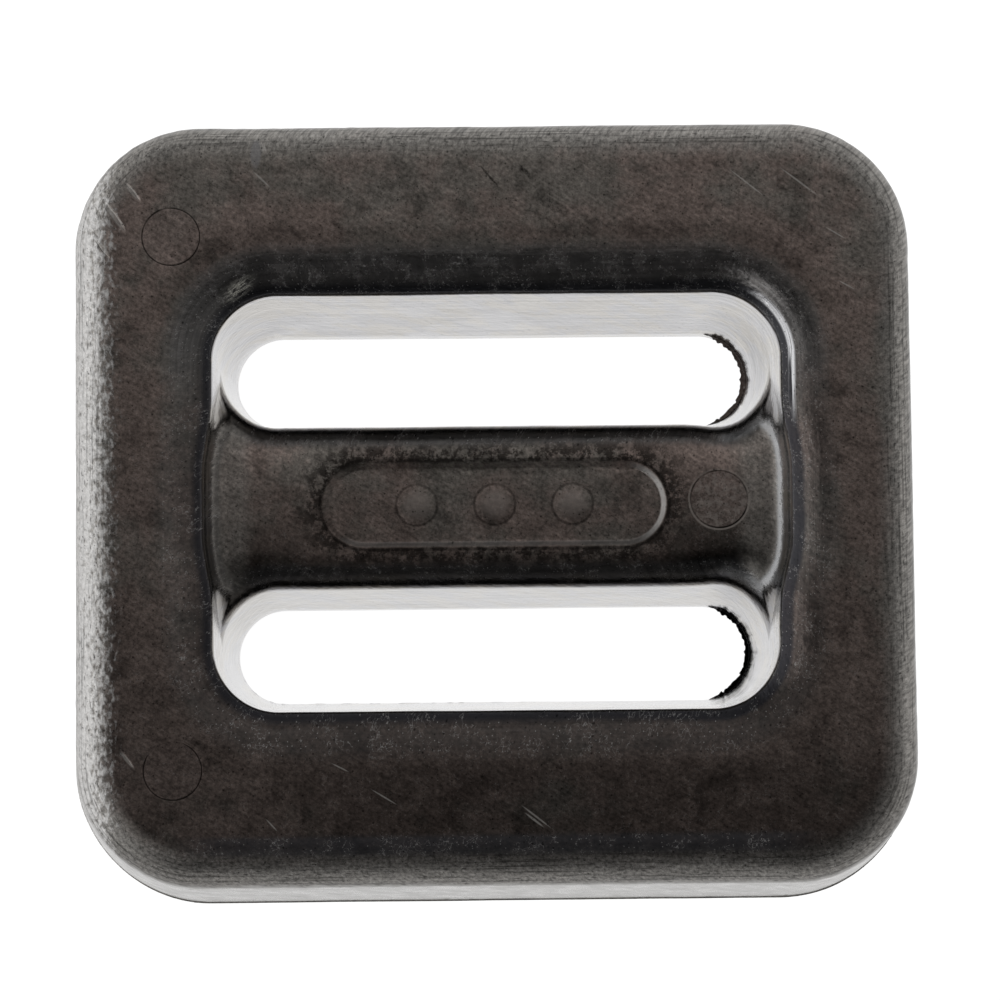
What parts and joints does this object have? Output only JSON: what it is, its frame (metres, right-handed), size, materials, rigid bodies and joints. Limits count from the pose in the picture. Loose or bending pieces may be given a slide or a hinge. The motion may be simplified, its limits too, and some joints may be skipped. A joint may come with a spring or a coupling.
{
  "type": "dive weight",
  "caption": "Rounded rectangular lead weight for a dive belt, with long webbing slots either side of a lower centre bar that the belt passes over.",
  "frame": {"origin": "centre of the back face, on the surface that rests on the diver's belt side", "axes": "+X along the two slots, across the belt's width; +Y across the slots, the way the belt runs; +Z out of the front face"},
  "size_m": [0.0882, 0.0806, 0.0258],
  "materials": {
    "cast_lead": null
  },
  "bodies": {
    "root": {"lead_casting": "cast_lead"}
  },
  "joints": []
}
